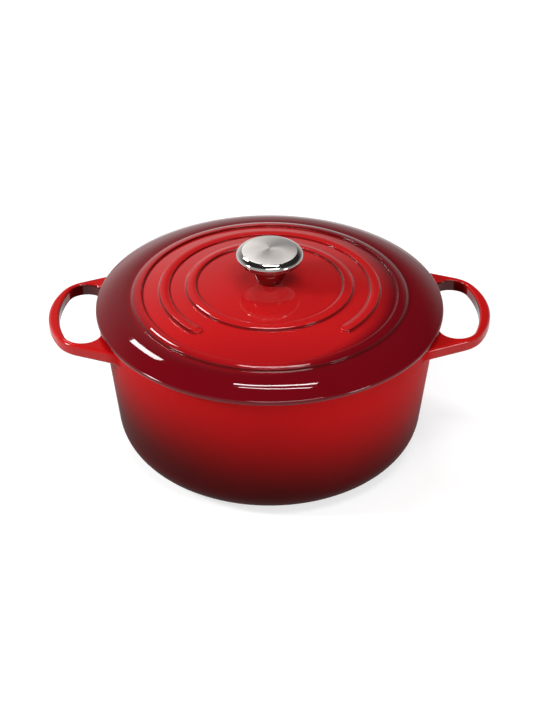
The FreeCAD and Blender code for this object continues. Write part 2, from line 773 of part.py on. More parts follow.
def make_knob_base():
    """Pressed lower shell: neck and flare, with a floor that the screw pulls on."""
    shell = make_body("knob_base", KNOB_SEAT)
    revolve(shell, "flare", (
        ("0", "0"),
        ("neck_foot_radius", "0"),
        ("neck_top_radius", "neck_height"),
        (SEAM_RADIUS, f"{SEAM_HEIGHT} - knob_shell", "flare_radius", -1),
        (SEAM_RADIUS, SEAM_HEIGHT),
        ("0", SEAM_HEIGHT),
    ))
    hollow_out(shell, "flare_inside", (
        ("0", "neck_floor"),
        (inner_neck_radius("neck_floor"), "neck_floor"),
        (inner_neck_radius("neck_height"), "neck_height"),
        (f"{SEAM_RADIUS} - knob_shell", SEAM_HEIGHT, "flare_radius + knob_shell", -1),
        ("0", SEAM_HEIGHT),
    ))
    bore(shell, "neck_hole", "screw_radius + screw_hole_clearance", "0",
         "2 * neck_floor")
    return shell


def make_knob_insert():
    """Turned insert: it stands on the neck's floor, and a collar centres it."""
    insert = make_body("knob_insert", f"{KNOB_SEAT} + neck_floor")
    collar = "insert_height - insert_collar"
    collar_radius = inner_neck_radius(f"neck_floor + {collar}") + " - insert_fit"
    revolve(insert, "insert", (
        ("0", "0"),
        ("insert_radius", "0"),
        ("insert_radius", collar),
        (collar_radius, collar),
        (collar_radius, "insert_height"),
        ("0", "insert_height"),
    ))
    bore(insert, "thread", "screw_radius + thread_clearance", "0", "2 * insert_height")
    return insert


HEAD_SEAT = f"rim_height + {dome_at('washer_seat_radius', '-lid_wall')} - washer_thickness"


def make_knob_screw():
    """Pan-head machine screw with a cross recess, driven from inside the lid."""
    screw = make_body("knob_screw", HEAD_SEAT)
    reach = f"{KNOB_SEAT} + neck_floor + screw_engagement - ({HEAD_SEAT})"
    revolve(screw, "screw", (
        ("0", "-screw_head_height"),
        ("screw_head_radius", "-screw_head_height"),
        ("screw_head_radius", "0"),
        ("screw_radius", "0"),
        ("screw_radius", reach),
        ("0", reach),
    ))
    wide = size("screw_head_radius")
    bottom = size("-screw_head_height")
    round_edges(screw, "pan", "screw_head_round",
                lambda edge: is_circle(edge, wide, bottom))
    long = "drive_length / 2"
    narrow = "drive_width / 2"
    for name, across, along in (("recess", long, narrow), ("cross_recess", narrow, long)):
        sketch = make_sketch(screw, f"{name}_plan", "XY_Plane", "-screw_head_height")
        draw_outline(sketch, (
            (f"-{across}", f"-{along}"),
            (across, f"-{along}"),
            (across, along),
            (f"-{across}", along),
        ))
        cut_upwards(screw, name, sketch, "drive_depth")
    return screw


def make_lock_washer():
    """Split spring washer, pressed flat under the screw's head."""
    washer = make_body("lock_washer", HEAD_SEAT)
    sketch = make_sketch(washer, "washer_plan", "XY_Plane")
    draw_circle(sketch, "washer_outer_radius")
    draw_circle(sketch, "screw_radius + screw_hole_clearance")
    pad_up(washer, "washer", sketch, "washer_thickness")
    slit = make_sketch(washer, "slit_plan", "XY_Plane")
    draw_outline(slit, (
        ("0", "-washer_slit / 2"),
        ("2 * washer_outer_radius", "-washer_slit / 2"),
        ("2 * washer_outer_radius", "washer_slit / 2"),
        ("0", "washer_slit / 2"),
    ))
    cut_upwards(washer, "slit", slit, "washer_thickness")
    return washer


# ---------------------------------------------------------- check and write

def check_everything(bodies):
    """Stop if any feature failed or any piece isn't one valid solid."""
    for item in doc.Objects:
        if "Invalid" in item.State or "Error" in item.State:
            raise ValueError(f"{item.Name} did not compute")
    for body in bodies:
        shape = body.Shape
        if shape.isNull() or not shape.isValid() or len(shape.Solids) != 1:
            raise ValueError(f"{body.Label} isn't one valid solid")


def write_parts(bodies):
    os.makedirs("parts", exist_ok=True)
    for body in bodies:
        body.Shape.exportStep(f"parts/{body.Label}.step")


def main():
    bodies = [make() for make in (
        make_pot, make_lid, make_knob_top, make_knob_base,
        make_knob_insert, make_knob_screw, make_lock_washer)]
    doc.recompute()
    check_everything(bodies)
    write_parts(bodies)


main()
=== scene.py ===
"""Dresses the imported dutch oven: enamel, steel, studio and camera."""

import math

import bpy
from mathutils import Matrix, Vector


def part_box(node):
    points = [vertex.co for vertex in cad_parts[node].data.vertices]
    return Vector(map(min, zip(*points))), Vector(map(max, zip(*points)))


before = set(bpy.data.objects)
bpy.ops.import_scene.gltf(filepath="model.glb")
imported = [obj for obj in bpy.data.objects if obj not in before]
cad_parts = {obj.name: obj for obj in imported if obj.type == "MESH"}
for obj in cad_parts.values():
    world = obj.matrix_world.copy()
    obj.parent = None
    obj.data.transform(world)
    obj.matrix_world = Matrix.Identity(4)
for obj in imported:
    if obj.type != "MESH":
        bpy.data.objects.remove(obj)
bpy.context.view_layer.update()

bl_info = {
    "name": "Dutch oven",
    "version": (1, 0, 0),
    "blender": (4, 5, 0),
    "location": "3D View > Sidebar > Dutch oven",
    "description": "Dresses a round enamelled dutch oven and sets its studio",
    "category": "Object",
}

MM = 0.001

# Height and radii of the castings, read back from the frame.
RIM_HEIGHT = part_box("pot")[1].z
RIM_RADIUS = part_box("pot")[1].y
LID_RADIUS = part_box("lid")[1].y

# Enamel. Where one enamel meets another, it changes over the width of a seam.
SEAM = 0.2 * MM
UNEVENNESS = 0.12             # how far the sprayed tone wanders
LEFT_SHADE_TILT = 0.12             # painted shade: the wall's darkening climbs higher on the left
# the wall darkens from top to foot: partly the enamel's own ombre, partly painted shade
OMBRE_AND_SHADE_TOP, OMBRE_AND_SHADE_FOOT = RIM_HEIGHT * 0.96, RIM_HEIGHT * 0.15
RIGHT_SHADE_REACH = 0.16            # painted shade: the brim's darker tone reaches further in on the right
SPRAY_BEGIN, SPRAY_FULL = 0.88, 0.84  # shares of the shoulder's and the lid's radius
FRONT_SHADE = 0.28            # painted shade: a thin darker tone on the front of the dome
FRONT_BEGIN, FRONT_FULL = 55 * MM, 100 * MM
FOOT_POOL_AND_SHADE = 0.75             # how fully the darker foot colour covers: enamel pooled at a band's foot and painted shade in its crease
FLOOR_INSIDE = 2.0 * MM       # above the underside and below the cooking face
GRIP_BEGIN = 0.5 * MM         # outside the wall, where the handles' red begins
GRIP_FULL = 9.0 * MM
LID_MIDDLE = 1.9 * MM         # from the dome's face to the middle of its wall
FLANGE_MIDDLE = 123.4 * MM    # radius in the lid's locating flange
SEAT_BEGIN = 126.6 * MM       # black ring under the lid, inner and outer radius
SEAT_END = 133.4 * MM
SAND_MARGIN = 0.5 * MM        # the sand starts this far under the top of the base's round
BODY_ROUGH, SAND_ROUGH, MATT_ROUGH = 0.30, 0.22, 0.55
GLAZE_ROUGH, LID_SAND_ROUGH = 0.03, 0.15
WALL_COAT, GRIP_COAT = 0.13, 0.7
GLAZE_MIRROR = 0.28           # how strongly the lid's glaze mirrors

# Steel. Brushing and lathe marks are lines per metre.
BRUSH_LINES, LATHE_LINES = 9000.0, 4000.0
BRUSH_STRETCH = 0.55
POLISHED_ROUGH = 0.06

# Studio. Lamps: name, azimuth, elevation, width, height and watts.
LAMPS = (
    # two narrow boxes overhead draw the double line on the brim
    ("strip_low", 6, 72, 0.42, 0.048, 2.4),
    ("strip_high", 10, 78.5, 0.42, 0.020, 1.6),
    # tall narrow box behind on the left
    ("box_back_left", -33, 46.5, 0.13, 0.22, 2.4),
    # broad boxes on the left, on the right and over the front
    ("key_left", -100, 30, 0.20, 0.30, 12.0),
    ("fill_right", 128, 14, 0.30, 0.30, 5.0),
    ("front_top", 165, 64, 0.70, 0.35, 6.5),
)
LAMP_DISTANCE = 1.3
LAMP_AIM = Vector((0, 0, 0.12))
DARK_END = (2, 40)            # azimuth and elevation of the room's dark end
DARK_LEVEL = 0.05             # its own light, and what two pale parts of it add
LOW_GLOW, LEFT_GLOW = 0.80, 0.60
OPEN_LEVEL, OPEN_RIGHT = 0.95, 0.60
FLOOR_HALF = 8.0
SENSOR_WIDTH = 36


# --------------------------------------------------------- properties

class OvenEnamelSizes(bpy.types.PropertyGroup):
    """Colours and measures of the vitreous enamel."""

    fired_red: bpy.props.FloatVectorProperty(
        name="Fired red", description="Enamel on the dome",
        subtype="COLOR", size=3, min=0, max=1, default=(0.40, 0.0080, 0.0090))
    wall_red: bpy.props.FloatVectorProperty(
        name="Wall red", description="Enamel on the upper wall",
        subtype="COLOR", size=3, min=0, max=1, default=(0.46, 0.0030, 0.0040))
    grip_red: bpy.props.FloatVectorProperty(
        name="Grip red", description="Bright enamel on the handles",
        subtype="COLOR", size=3, min=0, max=1, default=(0.40, 0.0060, 0.0060))
    # painted shade: dark red on the finger gaps' walls stands in for the shade inside them
    gap_shade_red: bpy.props.FloatVectorProperty(
        name="Gap red", description="Dark enamel on the walls of the finger gaps",
        subtype="COLOR", size=3, min=0, max=1, default=(0.060, 0.0012, 0.0012))
    gap_middle: bpy.props.FloatProperty(
        name="Gap middle", description="From the axis to the middle of a finger gap",
        unit="LENGTH", default=149 * MM)
    # enamel pooled at a band's foot and painted shade in the crease there
    foot_pool_and_shade_red: bpy.props.FloatVectorProperty(
        name="Foot red", description="Darker enamel that gathers at a band's foot",
        subtype="COLOR", size=3, min=0, max=1, default=(0.075, 0.0010, 0.0015))
    burgundy: bpy.props.FloatVectorProperty(
        name="Burgundy", description="Darker spray round the lid's edge",
        subtype="COLOR", size=3, min=0, max=1, default=(0.115, 0.0014, 0.0045))
    # darkest tone at the foot of the wall: partly the enamel's own ombre, partly painted
    # shade
    base_ombre_and_shade: bpy.props.FloatVectorProperty(
        name="Base shade", description="Darkest enamel, at the foot of the wall",
        subtype="COLOR", size=3, min=0, max=1, default=(0.052, 0.0004, 0.0006))
    sand: bpy.props.FloatVectorProperty(
        name="Sand", description="Light enamel inside the pot and the lid",
        subtype="COLOR", size=3, min=0, max=1, default=(0.70, 0.60, 0.44))
    rim_black: bpy.props.FloatVectorProperty(
        name="Rim black", description="Matt enamel on the rim and the lid's seat",
        subtype="COLOR", size=3, min=0, max=1, default=(0.016, 0.014, 0.014))
    ripple_depth: bpy.props.FloatProperty(
        name="Ripple depth", description="Depth of the ripple in the fired glaze",
        unit="LENGTH", default=0.04 * MM)
    wall_angle: bpy.props.FloatProperty(
        name="Wall angle", description="Draft of the pot's wall",
        subtype="ANGLE", default=math.radians(6.7))
    wall_middle: bpy.props.FloatProperty(
        name="Wall middle", description="From the outside of a wall to its middle",
        unit="LENGTH", default=1.91 * MM)
    dome_radius: bpy.props.FloatProperty(
        name="Dome radius", description="Radius of the sphere under the lid's bands",
        unit="LENGTH", default=462.83 * MM)
    dome_height: bpy.props.FloatProperty(
        name="Dome height", description="Top of that sphere above the rim",
        unit="LENGTH", default=23.7 * MM)
    shoulder_radius: bpy.props.FloatProperty(
        name="Shoulder radius", description="Where the dome ends and the brim begins",
        unit="LENGTH", default=107.9 * MM)
    band_middles: bpy.props.FloatVectorProperty(
        name="Band middles", description="Middle radii of the outer, open and inner bands",
        unit="LENGTH", size=3, default=(103.4 * MM, 82.0 * MM, 61.1 * MM))
    band_half_width: bpy.props.FloatProperty(
        name="Band half width", description="From the middle of a band to its side",
        unit="LENGTH", default=3.6 * MM)
    band_opening: bpy.props.FloatProperty(
        name="Band opening", description="From the front to each end of the open band",
        subtype="ANGLE", default=math.radians(43))
    band_crown: bpy.props.FloatProperty(
        name="Band crown", description="Radius to which the glaze rounds a band's top",
        unit="LENGTH", default=15 * MM)
    foot_drop: bpy.props.FloatProperty(
        name="Foot drop", description="How far the glaze sinks beside a band",
        unit="LENGTH", default=0.60 * MM)
    corner_reach: bpy.props.FloatProperty(
        name="Corner reach", description="From the axis to the centre of the base's round",
        unit="LENGTH", default=93.15 * MM)
    corner_round: bpy.props.FloatProperty(
        name="Corner round", description="Outer radius of the round at the base",
        unit="LENGTH", default=27.8 * MM)


class OvenSteelSizes(bpy.types.PropertyGroup):
    """Measures of the knob's finish."""

    steel: bpy.props.FloatVectorProperty(
        name="Steel", description="Colour of the stainless steel",
        subtype="COLOR", size=3, min=0, max=1, default=(0.80, 0.755, 0.72))
    # painted shade: darker than the disc's steel, standing in for the dim lid and room the
    # polish mirrors
    neck_shaded_steel: bpy.props.FloatVectorProperty(
        name="Neck steel", description="Colour of the steel of the neck and the underside",
        subtype="COLOR", size=3, min=0, max=1, default=(0.34, 0.30, 0.29))
    # painted shade: the polished side's steel is darkened to stand in for the dark room it
    # mirrors
    side_shaded_steel: bpy.props.FloatVectorProperty(
        name="Side steel", description="Polished side of the knob, round its disc",
        subtype="COLOR", size=3, min=0, max=1, default=(0.46, 0.43, 0.41))
    disc_radius: bpy.props.FloatProperty(
        name="Disc radius", description="Edge of the circular brushing",
        unit="LENGTH", default=21.4 * MM)


class OvenStageSizes(bpy.types.PropertyGroup):
    """Camera and lamps."""

    distance: bpy.props.FloatProperty(
        name="Distance", description="From the camera to the point it looks at",
        unit="LENGTH", default=1.70)
    elevation: bpy.props.FloatProperty(
        name="Elevation", description="Angle from which the camera looks down",
        subtype="ANGLE", default=math.radians(34.2))
    azimuth: bpy.props.FloatProperty(
        name="Azimuth", description="Angle round the object, 0 in front",
        subtype="ANGLE", default=math.radians(-1.3))
    focal_length: bpy.props.FloatProperty(
        name="Focal length", description="Lens in millimetres", default=106.78)
    aim: bpy.props.FloatVectorProperty(
        name="Aim", description="Point that the camera looks at",
        subtype="XYZ", size=3, default=(0.00030, 0.0, 0.06647))
    floor_grey: bpy.props.FloatProperty(
        name="Floor", description="Paleness of the floor", min=0, max=1, default=0.45)
    floor_lift: bpy.props.FloatProperty(
        name="Floor lift", description="White added where the camera sees the floor",
        min=0, max=1, default=0.66)


# ------------------------------------------------------- node helpers

class Web:
    """Short way to lay nodes into one tree."""

    def __init__(self, tree):
        self.tree = tree

    def node(self, kind, **settings):
        """A new node with some of its settings changed."""
        made = self.tree.nodes.new(kind)
        for name, value in settings.items():
            setattr(made, name, value)
        return made

    def join(self, source, target):
        """Link an output socket to an input, or write a plain value into it."""
        if isinstance(source, bpy.types.NodeSocket):
            self.tree.links.new(source, target)
        else:
            target.default_value = source

    def calc(self, operation, *values, clamp=False):
        """One step of arithmetic on sockets and plain numbers."""
        made = self.node("ShaderNodeMath", operation=operation, use_clamp=clamp)
        for value, target in zip(values, made.inputs):
            self.join(value, target)
        return made.outputs[0]

    def step(self, value, low, high):
        """0 below low, 1 above high, smooth between."""
        made = self.node("ShaderNodeMapRange", interpolation_type="SMOOTHSTEP")
        for item, target in zip((value, low, high), made.inputs):
            self.join(item, target)
        return made.outputs["Result"]

    def mix(self, amount, first, second):
        """Mix of two colours."""
        made = self.node("ShaderNodeMix", data_type="RGBA")
        self.join(amount, made.inputs["Factor"])
        self.join(colour(first), made.inputs["A"])
        self.join(colour(second), made.inputs["B"])
        return made.outputs["Result"]

    def blend(self, amount, first, second):
        """Mix of two plain values."""
        made = self.node("ShaderNodeMix", data_type="FLOAT")
        self.join(amount, made.inputs["Factor"])
        self.join(first, made.inputs["A"])
        self.join(second, made.inputs["B"])
        return made.outputs["Result"]

    def group(self, name, **values):
        """A shader group with its inputs joined; returns its outputs."""
        tree = bpy.data.node_groups[name]
        made = self.node("ShaderNodeGroup", node_tree=tree)
        for label, value in values.items():
            self.join(value, made.inputs[label.replace("_", " ").capitalize()])
        return made.outputs

    def place(self):
        """Object coordinates, the radius from the axis and the height."""
        where = self.node("ShaderNodeTexCoord").outputs["Object"]
        parts = self.node("ShaderNodeSeparateXYZ")
        self.join(where, parts.inputs[0])
        flat = self.node("ShaderNodeCombineXYZ")
        self.join(parts.outputs["X"], flat.inputs["X"])
        self.join(parts.outputs["Y"], flat.inputs["Y"])
        reach = self.node("ShaderNodeVectorMath", operation="LENGTH")
        self.join(flat.outputs[0], reach.inputs[0])
        return where, reach.outputs["Value"], parts.outputs["Z"]


def colour(value):
    """A colour property as the four numbers that a socket takes."""
    if isinstance(value, bpy.types.NodeSocket):
        return value
    return (*value, 1.0)


def new_group(name, inputs, outputs):
    """An empty shader group with named float or colour sockets."""
    tree = bpy.data.node_groups.new(name, "ShaderNodeTree")
    for label, kind, default in inputs:
        socket = tree.interface.new_socket(label, in_out="INPUT", socket_type=kind)
        if default is not None:
            socket.default_value = default
    for label, kind in outputs:
        tree.interface.new_socket(label, in_out="OUTPUT", socket_type=kind)
    web = Web(tree)
    return web, web.node("NodeGroupInput").outputs, web.node("NodeGroupOutput").inputs


def glaze_ripple():
    """Group: height of the shallow ripple of a fired glaze, and a slow drift."""
    web, given, out = new_group(
        "Glaze ripple",
        (("Place", "NodeSocketVector", None),
         ("Ripple", "NodeSocketFloat", 90.0),
         ("Drift", "NodeSocketFloat", 14.0)),
        (("Height", "NodeSocketFloat"), ("Cloud", "NodeSocketFloat")))
    for scale, detail, target in (("Ripple", 1.0, "Height"), ("Drift", 3.0, "Cloud")):
        noise = web.node("ShaderNodeTexNoise", noise_dimensions="3D")
        web.join(given["Place"], noise.inputs["Vector"])
        web.join(given[scale], noise.inputs["Scale"])
        noise.inputs["Detail"].default_value = detail
        web.join(noise.outputs["Fac"], out[target])


def shaded_enamel():
    """Group: enamel that goes from a light to a dark tone, uneven as sprayed."""
    web, given, out = new_group(
        "Shaded enamel",
        (("Light", "NodeSocketColor", None),
         ("Dark", "NodeSocketColor", None),
         ("Depth", "NodeSocketFloat", 0.0),
         ("Cloud", "NodeSocketFloat", 0.5),
         ("Unevenness", "NodeSocketFloat", 0.15)),
        (("Color", "NodeSocketColor"),))
    wander = web.calc("SUBTRACT", given["Cloud"], 0.5)
    wander = web.calc("MULTIPLY", wander, given["Unevenness"])
    depth = web.calc("ADD", given["Depth"], wander, clamp=True)
    web.join(web.mix(depth, given["Light"], given["Dark"]), out["Color"])


def soft_band():
    """Group: height of the glaze over a ring-shaped band, and where its foot lies."""
    web, given, out = new_group(
        "Soft band",
        (("Radius", "NodeSocketFloat", 0.0),
         ("Middle", "NodeSocketFloat", 0.1),
         ("Half width", "NodeSocketFloat", 0.0036),
         ("Crown", "NodeSocketFloat", 0.02),
         ("Drop", "NodeSocketFloat", 0.0004)),
        (("Height", "NodeSocketFloat"), ("Foot", "NodeSocketFloat")))
    aside = web.calc("ABSOLUTE", web.calc("SUBTRACT", given["Radius"], given["Middle"]))
    half = given["Half width"]
    top = web.calc("SUBTRACT", web.calc("POWER", half, 2.0),
                   web.calc("POWER", web.calc("MINIMUM", aside, half), 2.0))
    top = web.calc("DIVIDE", top, web.calc("MULTIPLY", given["Crown"], 2.0))
    foot = web.step(aside, web.calc("MULTIPLY", half, 1.50), web.calc("MULTIPLY", half, 0.95))
    web.join(web.calc("ADD", top, web.calc("MULTIPLY", foot, given["Drop"])), out["Height"])
    near = web.step(aside, web.calc("MULTIPLY", half, 0.85), web.calc("MULTIPLY", half, 1.02))
    far = web.step(aside, web.calc("MULTIPLY", half, 1.08), web.calc("MULTIPLY", half, 1.50))
    web.join(web.calc("SUBTRACT", near, far), out["Foot"])


def finish(web, shader, paint, **values):
    """Join the colour and whatever else varies over the surface."""
    web.join(paint, shader.inputs["Base Color"])
    for label, value in values.items():
        web.join(value, shader.inputs[label.replace("_", " ")])


def new_material(name):
    """A material that holds only a Principled shader."""
    material = bpy.data.materials.new(name)
    material.use_nodes = True
    material.node_tree.nodes.clear()
    web = Web(material.node_tree)
    shader = web.node("ShaderNodeBsdfPrincipled")
    output = web.node("ShaderNodeOutputMaterial")
    web.join(shader.outputs[0], output.inputs["Surface"])
    return material, web, shader


def shape(web, shader, height):
    """Raise the surface by a height in metres."""
    made = web.node("ShaderNodeBump")
    made.inputs["Strength"].default_value = 1.0
    made.inputs["Distance"].default_value = 1.0
    web.join(height, made.inputs["Height"])
    web.join(made.outputs["Normal"], shader.inputs["Normal"])


def dress(node, material):
    """Give a node of the frame one material."""
    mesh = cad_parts[node].data
    mesh.materials.clear()
    mesh.materials.append(material)


# ------------------------------------------------------------ enamel

def facing_gap(web, where, middle):
    """1 on walls that face the middle of a handle's finger gap."""
    place = web.node("ShaderNodeVectorMath", operation="ABSOLUTE")
    web.join(where, place.inputs[0])
    out = web.node("ShaderNodeVectorMath", operation="SUBTRACT")
    web.join(place.outputs[0], out.inputs[0])
    out.inputs[1].default_value = (middle, 0, 0)
    flat = web.node("ShaderNodeVectorMath", operation="MULTIPLY")
    web.join(out.outputs[0], flat.inputs[0])
    flat.inputs[1].default_value = (1, 1, 0)
    away = web.node("ShaderNodeVectorMath", operation="NORMALIZE")
    web.join(flat.outputs[0], away.inputs[0])
    # the normal is mirrored into the same quarter as the place
    side = web.node("ShaderNodeVectorMath", operation="SIGN")
    web.join(where, side.inputs[0])
    normal = web.node("ShaderNodeVectorMath", operation="MULTIPLY")
    web.join(web.node("ShaderNodeTexCoord").outputs["Normal"], normal.inputs[0])
    web.join(side.outputs[0], normal.inputs[1])
    along = web.node("ShaderNodeVectorMath", operation="DOT_PRODUCT")
    web.join(away.outputs[0], along.inputs[0])
    web.join(normal.outputs[0], along.inputs[1])
    return web.step(along.outputs["Value"], -0.45, -0.85)


def pot_enamel(sizes):
    """Ombre red outside, sand inside, matt black on the rim."""
    material, web, shader = new_material("pot_enamel")
    where, radius, height = web.place()
    ripple = web.group("Glaze ripple", place=where)
    # outside of the wall, darker towards the base: partly the enamel's own ombre, partly
    # painted shade
    flat = web.node("ShaderNodeSeparateXYZ")
    web.join(where, flat.inputs[0])
    # painted shade: the darkening reaches higher on the left side
    lift = web.calc("ADD", height, web.calc("MULTIPLY", flat.outputs["X"], LEFT_SHADE_TILT))
    depth = web.step(lift, OMBRE_AND_SHADE_TOP, OMBRE_AND_SHADE_FOOT)
    outside = web.group("Shaded enamel",
                        light=colour(sizes.wall_red), dark=colour(sizes.base_ombre_and_shade),
                        depth=depth, cloud=ripple["Cloud"], unevenness=UNEVENNESS)["Color"]
    # handles stand outside the wall and stay bright
    drop = web.calc("SUBTRACT", RIM_HEIGHT, height)
    lean = web.calc("MULTIPLY", drop, math.tan(sizes.wall_angle))
    skin = web.calc("SUBTRACT", RIM_RADIUS, lean)
    beyond = web.calc("SUBTRACT", radius, skin)
    grip = web.step(beyond, GRIP_BEGIN, GRIP_FULL)
    outside = web.mix(grip, outside, sizes.grip_red)
    # painted shade on the walls that face the finger gaps
    gap = web.calc("MULTIPLY", facing_gap(web, where, sizes.gap_middle), grip)
    outside = web.mix(gap, outside, sizes.gap_shade_red)
    # inside of the wall and the floor
    middle = web.calc("SUBTRACT", skin, sizes.wall_middle)
    within = web.step(web.calc("SUBTRACT", middle, radius), 0.0, SEAM)
    above = web.step(height, FLOOR_INSIDE, FLOOR_INSIDE + 2 * SEAM)
    corner = web.calc("SUBTRACT", radius, sizes.corner_reach)
    corner = web.calc("MAXIMUM", corner, 0.0)
    low = web.calc("MAXIMUM", web.calc("SUBTRACT", sizes.corner_round, height), 0.0)
    sweep = web.calc("ADD", web.calc("POWER", corner, 2.0), web.calc("POWER", low, 2.0))
    sweep = web.calc("SQRT", sweep)
    shell = sizes.corner_round - sizes.wall_middle
    bowl = web.step(sweep, shell, shell - SEAM)
    over_round = web.step(height, sizes.corner_round - SAND_MARGIN, sizes.corner_round)
    bowl = web.calc("MAXIMUM", bowl, over_round)
    inside = web.calc("MULTIPLY", web.calc("MULTIPLY", within, above), bowl)
    paint = web.mix(inside, outside, sizes.sand)
    # land of the rim
    land = web.step(height, RIM_HEIGHT - 0.5 * MM, RIM_HEIGHT - 0.25 * MM)
    paint = web.mix(land, paint, sizes.rim_black)
    rough = web.blend(inside, BODY_ROUGH, SAND_ROUGH)
    rough = web.blend(land, rough, MATT_ROUGH)
    coat = web.blend(land, web.blend(grip, WALL_COAT, GRIP_COAT), 0.0)
    finish(web, shader, paint, Roughness=rough, Coat_Weight=coat)
    # a clear glassy coat over a dull body
    shader.inputs["Specular IOR Level"].default_value = 0.0
    shader.inputs["Coat Roughness"].default_value = GLAZE_ROUGH
    shader.inputs["Coat IOR"].default_value = 1.4
    swell = web.calc("MULTIPLY", ripple["Height"], sizes.ripple_depth)
    shape(web, shader, swell)
    return material


def lid_enamel(sizes):
    """Red dome that turns burgundy at the brim, with darker feet to its bands: pooled enamel
    and painted shade.
    """
    material, web, shader = new_material("lid_enamel")
    where, radius, height = web.place()
    ripple = web.group("Glaze ripple", place=where)
    flat = web.node("ShaderNodeSeparateXYZ")
    web.join(where, flat.inputs[0])
    # painted shade: the darker tone reaches further in on the right
    right = web.calc("MAXIMUM", flat.outputs["X"], 0.0)
    right = web.calc("MULTIPLY", right, RIGHT_SHADE_REACH)
    depth = web.step(web.calc("ADD", radius, right), sizes.shoulder_radius * SPRAY_BEGIN,
                     LID_RADIUS * SPRAY_FULL)
    toward = web.calc("MULTIPLY", flat.outputs["Y"], -1.0)
    # painted shade on the front of the dome
    front = web.step(toward, FRONT_BEGIN, FRONT_FULL)
    depth = web.calc("MAXIMUM", depth, web.calc("MULTIPLY", front, FRONT_SHADE))
    outside = web.group("Shaded enamel",
                        light=colour(sizes.fired_red), dark=colour(sizes.burgundy),
                        depth=depth, cloud=ripple["Cloud"], unevenness=UNEVENNESS)["Color"]
    # height over the plain dome picks out the bands
    square = web.calc("POWER", radius, 2.0)
    ball = web.calc("SQRT", web.calc("SUBTRACT", sizes.dome_radius ** 2, square))
    dome = web.calc("ADD", ball, RIM_HEIGHT + sizes.dome_height - sizes.dome_radius)
    over = web.calc("SUBTRACT", height, dome)
    ahead = web.calc("DIVIDE", toward, radius)
    closed = web.step(ahead, math.cos(sizes.band_opening - 0.02),
                      math.cos(sizes.band_opening + 0.03))
    swell = web.calc("MULTIPLY", ripple["Height"], sizes.ripple_depth)
    foot = 0.0
    for middle, part in zip(sizes.band_middles, (1.0, closed, 1.0)):
        band = web.group("Soft band", radius=radius, middle=middle,
                         half_width=sizes.band_half_width, crown=sizes.band_crown,
                         drop=sizes.foot_drop)
        swell = web.calc("ADD", swell, web.calc("MULTIPLY", band["Height"], part))
        foot = web.calc("MAXIMUM", foot, web.calc("MULTIPLY", band["Foot"], part))
    # darker feet to the bands: pooled enamel and painted shade
    outside = web.mix(web.calc("MULTIPLY", foot, FOOT_POOL_AND_SHADE), outside, sizes.foot_pool_and_shade_red)
    # underside: everything below the middle of the shell
    under = web.step(over, -LID_MIDDLE, -LID_MIDDLE - 0.1 * MM)
    brim = web.step(radius, FLANGE_MIDDLE, FLANGE_MIDDLE + 0.5 * MM)
    seat = web.step(height, RIM_HEIGHT + 0.3 * MM, RIM_HEIGHT + 0.15 * MM)
    ring = web.step(radius, SEAT_END + 0.5 * MM, SEAT_END)
    seat = web.calc("MULTIPLY", seat, ring)
    hollow = web.calc("MULTIPLY", under, web.calc("SUBTRACT", 1.0, brim))
    hollow = web.calc("MAXIMUM", hollow, seat)
    paint = web.mix(hollow, outside, sizes.sand)
    land = web.calc("MULTIPLY", seat, web.step(radius, SEAT_BEGIN, SEAT_BEGIN + 2 * SEAM))
    paint = web.mix(land, paint, sizes.rim_black)
    rough = web.blend(hollow, GLAZE_ROUGH, LID_SAND_ROUGH)
    rough = web.blend(land, rough, MATT_ROUGH)
    finish(web, shader, paint, Roughness=rough)
    # no coat here: the soft feet of the bands show in what the glaze mirrors
    shader.inputs["Specular IOR Level"].default_value = GLAZE_MIRROR
    shape(web, shader, web.calc("MULTIPLY", swell, web.calc("SUBTRACT", 1.0, hollow)))
    return material


class OVEN_OT_enamel_groups(bpy.types.Operator):
    """Build the shader groups that the enamels share"""

    bl_idname = "oven.enamel_groups"
    bl_label = "Enamel groups"

    def execute(self, context):
        glaze_ripple()
        shaded_enamel()
        soft_band()
        return {"FINISHED"}


class OVEN_OT_pot(bpy.types.Operator):
    """Enamel the pot"""

    bl_idname = "oven.pot"
    bl_label = "Pot"

    def execute(self, context):
        dress("pot", pot_enamel(context.scene.oven_enamel))
        return {"FINISHED"}


class OVEN_OT_lid(bpy.types.Operator):
    """Enamel the lid"""

    bl_idname = "oven.lid"
    bl_label = "Lid"

    def execute(self, context):
        dress("lid", lid_enamel(context.scene.oven_enamel))
        return {"FINISHED"}


# ------------------------------------------------------------- steel

def dimmed(tone, share):
    """A colour made darker."""
    return [part * share for part in tone]


def brushed_cap(sizes):
    """Circular brushing on the disc, polish on the rolled side."""
    material, web, shader = new_material("knob_cap_steel")
    _, radius, _ = web.place()
    polish = web.step(radius, sizes.disc_radius - SEAM, sizes.disc_radius + SEAM)
    ring = web.node("ShaderNodeCombineXYZ")
    web.join(web.calc("MULTIPLY", radius, BRUSH_LINES), ring.inputs["X"])
    scratch = web.node("ShaderNodeTexNoise", noise_dimensions="3D")
    web.join(ring.outputs[0], scratch.inputs["Vector"])
    scratch.inputs["Scale"].default_value = 1.0
    scratch.inputs["Detail"].default_value = 2.0
    tone = web.step(scratch.outputs["Fac"], 0.25, 0.75)
    brushed = web.mix(tone, dimmed(sizes.steel, 0.80), dimmed(sizes.steel, 0.93))
    # painted shade on the polished side
    paint = web.mix(polish, brushed, sizes.side_shaded_steel)
    rough = web.blend(polish, web.blend(tone, 0.42, 0.50), POLISHED_ROUGH)
    finish(web, shader, paint, Roughness=rough)
    shader.inputs["Metallic"].default_value = 1.0
    shader.inputs["Anisotropic"].default_value = BRUSH_STRETCH
    tangent = web.node("ShaderNodeTangent", direction_type="RADIAL", axis="Z")
    web.join(tangent.outputs[0], shader.inputs["Tangent"])
    return material


